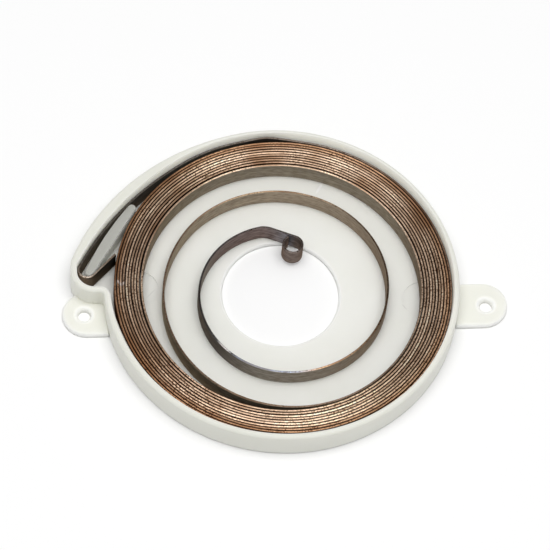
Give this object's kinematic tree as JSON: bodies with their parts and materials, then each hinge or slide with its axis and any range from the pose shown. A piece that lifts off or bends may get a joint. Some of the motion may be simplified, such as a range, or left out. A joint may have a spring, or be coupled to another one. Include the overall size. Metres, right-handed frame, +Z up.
{
  "type": "flat spiral return spring in a moulded case",
  "caption": "Flat spiral steel strip spring held wound in a shallow round plastic case, hooked round a post in a side pocket, with a rolled eye at its inner end and screw ears on the case.",
  "frame": {"origin": "on the hub axis, at the bottom face of the case", "axes": "+Z up along the hub axis, out of the open side of the case; X along the line of the two screw holes; the hook pocket is on the -X side"},
  "size_m": [0.1128, 0.09, 0.008],
  "materials": {
    "case": "milky translucent moulded plastic",
    "spring": "tempered brown strip steel with bare tan edges"
  },
  "bodies": {
    "root": {"case": "case", "spring": "spring"}
  },
  "joints": []
}
